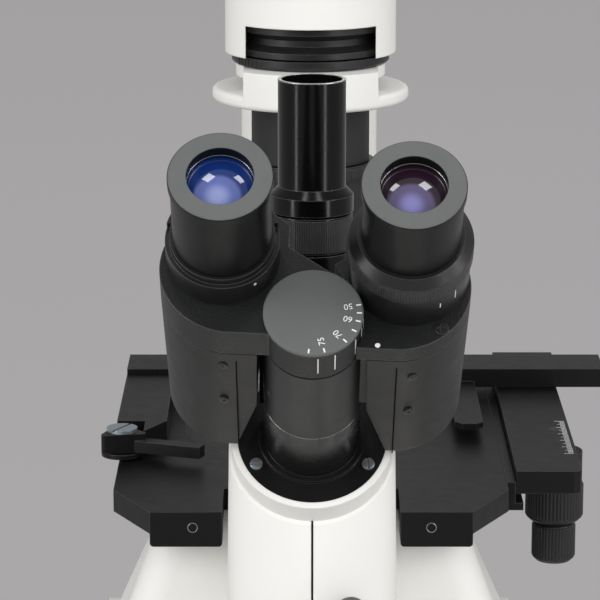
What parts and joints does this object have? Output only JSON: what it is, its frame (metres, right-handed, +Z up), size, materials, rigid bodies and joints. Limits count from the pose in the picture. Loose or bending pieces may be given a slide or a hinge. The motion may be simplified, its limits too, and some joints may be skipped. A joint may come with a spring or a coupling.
{
  "type": "inverted microscope",
  "caption": "Inverted tissue-culture microscope: tilted hinged binocular head, photo tube, mechanical stage over an objective turret, overhead lamp arm and condenser, rack focus.",
  "frame": {"origin": "on the bench, under the middle of the footprint box", "axes": "+Z up, -Y towards the user, +X to the user's right"},
  "size_m": [0.2623, 0.4764, 0.452],
  "materials": {
    "white_enamel": "white baked enamel on a light-alloy casting",
    "black_satin": "satin black anodised light alloy",
    "charcoal_satin": "satin charcoal paint on cast covers",
    "dial_grey": "matte grey anodised dial",
    "stage_grey": "matte dark grey anodised",
    "zinc_sheet": "zinc plated sheet",
    "steel": "turned steel",
    "chrome": "satin chrome plate",
    "glass": "coated optical glass",
    "mirror": "front-surface mirror",
    "ceramic": "ceramic lamp holder",
    "black_plastic": "moulded black plastic",
    "rubber": "black rubber"
  },
  "bodies": {
    "stand": {"base_casting": "white_enamel", "base_plate": "zinc_sheet", "rubber_feet": "rubber", "neck_cover_left": "white_enamel", "neck_cover_right": "white_enamel", "head_collar": "white_enamel", "head_barrel": "black_satin", "illuminator_column": "white_enamel", "lamp_housing": "white_enamel", "lamp_cap": "white_enamel", "lamp_socket": "ceramic", "halogen_bulb": "glass", "collector_lens": "glass", "filter_ring": "black_satin", "condenser_carrier": "white_enamel", "condenser_barrel": "black_satin", "condenser_lens": "glass", "stage_plate": "stage_grey", "stage_insert": "stage_grey", "stage_guide": "black_satin", "path_mirror": "mirror", "mains_inlet": "black_plastic", "photo_tube_base": "black_satin", "photo_tube": "black_satin"},
    "left_arm": {"left_arm_plate": "black_satin", "ipd_dial": "dial_grey", "left_prism_cover": "charcoal_satin", "left_tube_collar": "black_satin", "left_eyepiece": "black_satin", "left_eye_lens": "glass"},
    "right_arm": {"right_hinge_sleeve": "black_satin", "right_arm_plate": "black_satin", "right_prism_cover": "charcoal_satin"},
    "diopter": {"diopter_ring": "black_satin"},
    "right_ocular": {"right_eyepiece": "black_satin", "right_eye_lens": "glass"},
    "lock_ring": {"photo_lock_ring": "black_satin"},
    "selector": {"selector_rod": "black_satin"},
    "carriage": {"y_carriage": "stage_grey"},
    "cross_slide": {"cross_bar": "stage_grey", "left_holder": "stage_grey", "pivot_screw": "steel"},
    "finger": {"spring_finger": "stage_grey"},
    "x_knob": {"x_drive_knob": "black_plastic"},
    "y_knob": {"y_drive_knob": "black_plastic"},
    "coarse": {"focus_shaft": "steel", "coarse_knobs": "black_plastic"},
    "fine": {"fine_knobs": "black_plastic"},
    "tension": {"tension_ring": "black_plastic"},
    "nosepiece": {"nosepiece_carrier": "black_satin", "focus_rack": "steel"},
    "turret": {"turret": "chrome", "objective_4x": "chrome", "objective_10x": "chrome", "objective_20x": "chrome", "objective_40x": "chrome"},
    "field_iris": {"field_iris_ring": "black_satin"},
    "aperture": {"aperture_ring": "black_satin"},
    "rocker": {"power_rocker": "black_plastic"},
    "brightness": {"brightness_knob": "black_plastic"}
  },
  "joints": [
    {"name": "left_arm_swing", "type": "hinge", "parent": "stand", "child": "left_arm", "pos_m": [0, -0.19412, 0.30342], "axis": [0, -0.7071, 0.7071], "range_deg": [-14.3, 14.4]},
    {"name": "right_arm_swing", "type": "hinge", "parent": "stand", "child": "right_arm", "pos_m": [0, -0.17786, 0.28715], "axis": [0, -0.7071, 0.7071], "range_deg": [-14.5, 14.5]},
    {"name": "diopter_turn", "type": "hinge", "parent": "right_arm", "child": "diopter", "pos_m": [0.03412, -0.19165, 0.32993], "axis": [0, -0.7071, 0.7071], "range_deg": [-150, 150]},
    {"name": "right_ocular_slide", "type": "slide", "parent": "right_arm", "child": "right_ocular", "axis": [0, -0.7071, 0.7071], "range_m": [-0.0025, 0.0025]},
    {"name": "lock_ring_turn", "type": "hinge", "parent": "stand", "child": "lock_ring", "pos_m": [0, -0.094, 0.32], "axis": [0, 0, 1], "range_deg": [-20, 20]},
    {"name": "selector_pull", "type": "slide", "parent": "stand", "child": "selector", "axis": [0, -1, 0], "range_m": [0, 0.012]},
    {"name": "stage_y_travel", "type": "slide", "parent": "stand", "child": "carriage", "axis": [0, 1, 0], "range_m": [-0.039, 0.039]},
    {"name": "stage_x_travel", "type": "slide", "parent": "carriage", "child": "cross_slide", "axis": [1, 0, 0], "range_m": [-0.03, 0.06]},
    {"name": "y_knob_turn", "type": "hinge", "parent": "carriage", "child": "y_knob", "pos_m": [0.105, 0.018, 0.18], "axis": [0, 0, 1], "range_deg": [-345, 345]},
    {"name": "x_knob_turn", "type": "hinge", "parent": "carriage", "child": "x_knob", "pos_m": [0.105, 0.018, 0.18], "axis": [0, 0, 1], "range_deg": [-231, 460]},
    {"name": "finger_swing", "type": "hinge", "parent": "cross_slide", "child": "finger", "pos_m": [-0.079, -0.009, 0.212], "axis": [0, 0, 1], "range_deg": [-40, 0], "stiffness_Nm_per_rad": 0.05, "springref_deg": 5.73},
    {"name": "focus_travel", "type": "slide", "parent": "stand", "child": "nosepiece", "axis": [0, 0, 1], "range_m": [-0.004, 0.008]},
    {"name": "coarse_turn", "type": "hinge", "parent": "stand", "child": "coarse", "pos_m": [0, 0.148, 0.058], "axis": [-1, 0, 0], "range_deg": [-38.5, 76.8]},
    {"name": "fine_turn", "type": "hinge", "parent": "coarse", "child": "fine", "pos_m": [0, 0.148, 0.058], "axis": [-1, 0, 0], "continuous": true},
    {"name": "tension_turn", "type": "hinge", "parent": "stand", "child": "tension", "pos_m": [0.096, 0.148, 0.058], "axis": [1, 0, 0], "range_deg": [0, 40]},
    {"name": "turret_turn", "type": "hinge", "parent": "nosepiece", "child": "turret", "pos_m": [0, 0.06245, 0.1458], "axis": [0, 0.2079, 0.9781], "continuous": true},
    {"name": "field_iris_turn", "type": "hinge", "parent": "stand", "child": "field_iris", "pos_m": [0, 0.038, 0.368], "axis": [0, 0, 1], "range_deg": [-45, 45]},
    {"name": "aperture_turn", "type": "hinge", "parent": "stand", "child": "aperture", "pos_m": [0, 0.038, 0.328], "axis": [0, 0, 1], "range_deg": [-30, 30]},
    {"name": "rocker_tilt", "type": "hinge", "parent": "stand", "child": "rocker", "pos_m": [-0.048, 0.228, 0.031], "axis": [1, 0, 0], "range_deg": [-12, 0]},
    {"name": "brightness_turn", "type": "hinge", "parent": "stand", "child": "brightness", "pos_m": [0.112, -0.022, 0.031], "axis": [1, 0, 0], "range_deg": [0, 270]}
  ],
  "couplings": [
    {"joint": "right_arm_swing", "follows": "left_arm_swing", "ratio": -1},
    {"joint": "right_ocular_slide", "follows": "diopter_turn", "m_per_rad": 0.00095},
    {"joint": "y_knob_turn", "follows": "stage_y_travel", "rad_per_m": 153.8},
    {"joint": "x_knob_turn", "follows": "stage_x_travel", "rad_per_m": 133.3},
    {"joint": "coarse_turn", "follows": "focus_travel", "rad_per_m": 166.67}
  ]
}
